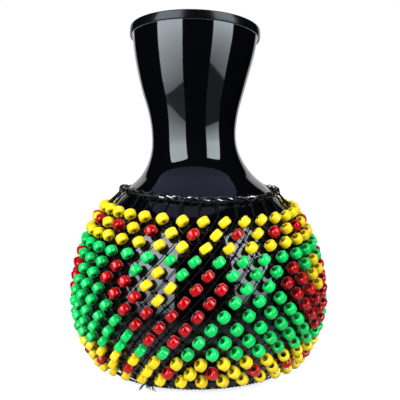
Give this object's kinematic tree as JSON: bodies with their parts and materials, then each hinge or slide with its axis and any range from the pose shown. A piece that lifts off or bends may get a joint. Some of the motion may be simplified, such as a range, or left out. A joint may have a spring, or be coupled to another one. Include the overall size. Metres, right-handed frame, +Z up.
{
  "type": "shekere",
  "caption": "Hollow gourd-shaped shaker with a flared open neck, dressed in a loose knotted net of coloured pony beads that rattle on the shell when it is shaken or the net is turned.",
  "frame": {"origin": "on the shell's axis, in the plane that its flat base stands on", "axes": "+Z up the shell's axis to the mouth, -Y to the front, +X to the right as seen from the front"},
  "size_m": [0.2111, 0.2112, 0.2804],
  "materials": {
    "shell_gloss": "high gloss black fibreglass gel coat",
    "edge_trim": "satin black",
    "ring_cord": "shiny twisted black nylon",
    "net_cord": "thin black nylon twine",
    "bead_yellow": "glossy opaque yellow",
    "bead_red": "glossy red, a little translucent",
    "bead_green": "glossy opaque green"
  },
  "bodies": {
    "gourd": {"shell": "shell_gloss", "rim_trim": "edge_trim"},
    "net": {"draw_cord": "ring_cord", "closing_cord": "ring_cord", "top_loops": "net_cord", "bead_strands": "net_cord", "tie_strands": "net_cord", "beads_row_01_yellow": "bead_yellow", "beads_row_02_red": "bead_red", "beads_row_02_yellow": "bead_yellow", "beads_row_03_yellow": "bead_yellow", "beads_row_04_green": "bead_green", "beads_row_05_green": "bead_green", "beads_row_05_red": "bead_red", "beads_row_05_yellow": "bead_yellow", "beads_row_06_green": "bead_green", "beads_row_06_red": "bead_red", "beads_row_06_yellow": "bead_yellow", "beads_row_07_green": "bead_green", "beads_row_07_red": "bead_red", "beads_row_07_yellow": "bead_yellow", "beads_row_08_green": "bead_green", "beads_row_08_red": "bead_red", "beads_row_09_green": "bead_green", "beads_row_09_red": "bead_red", "beads_row_10_green": "bead_green", "beads_row_10_red": "bead_red", "beads_row_11_green": "bead_green", "beads_row_12_yellow": "bead_yellow", "beads_row_13_red": "bead_red", "beads_row_13_yellow": "bead_yellow", "beads_row_14_yellow": "bead_yellow"}
  },
  "joints": [
    {"name": "net_turn", "type": "hinge", "parent": "gourd", "child": "net", "pos_m": [0, 0, 0.1], "axis": [0, 0, 1], "continuous": true}
  ]
}
